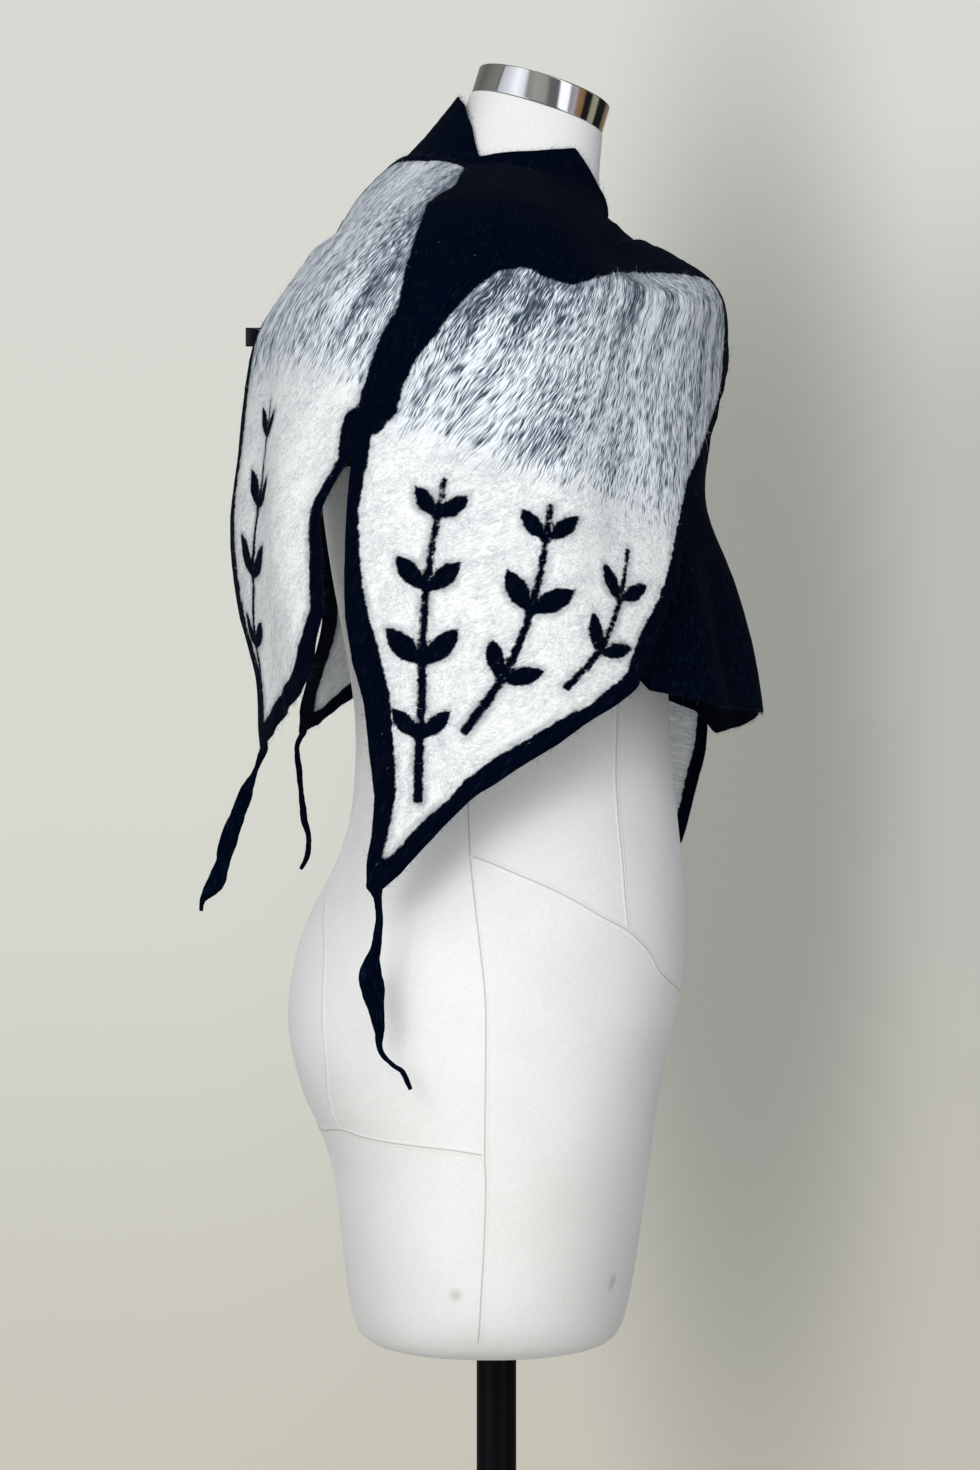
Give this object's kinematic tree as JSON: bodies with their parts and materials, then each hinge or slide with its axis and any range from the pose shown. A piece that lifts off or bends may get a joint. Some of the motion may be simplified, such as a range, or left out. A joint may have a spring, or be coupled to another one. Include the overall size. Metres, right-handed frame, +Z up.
{
  "type": "felted wool wrap on a dress form",
  "caption": "Felted wool wrap with a slit collar, hanging points that end in long tails and a flared front, worn on a limbless cloth-covered dress form with a pole stand.",
  "frame": {"origin": "centre of the floor plate's underside, on the pole's axis", "axes": "+Z up along the pole, -Y is the front of the dress form, -X is its right side"},
  "size_m": [0.474, 0.41, 1.4458],
  "materials": {
    "black_wool": "matt felted wool",
    "pale_wool": "matt felted wool, grey streaks fading to off-white, black borders",
    "form_cloth": "smooth tight cotton cover with sewn seams",
    "chrome": "polished",
    "black_paint": "satin black"
  },
  "bodies": {
    "root": {"under_wrap": "black_wool", "right_overlay": "pale_wool", "left_overlay": "pale_wool", "right_front_tail": "black_wool", "right_back_tail": "black_wool", "left_front_tail": "black_wool", "left_back_tail": "black_wool", "label_tab": "black_wool", "form_body": "form_cloth", "neck_cap": "chrome", "pole": "black_paint", "floor_plate": "black_paint"}
  },
  "joints": []
}
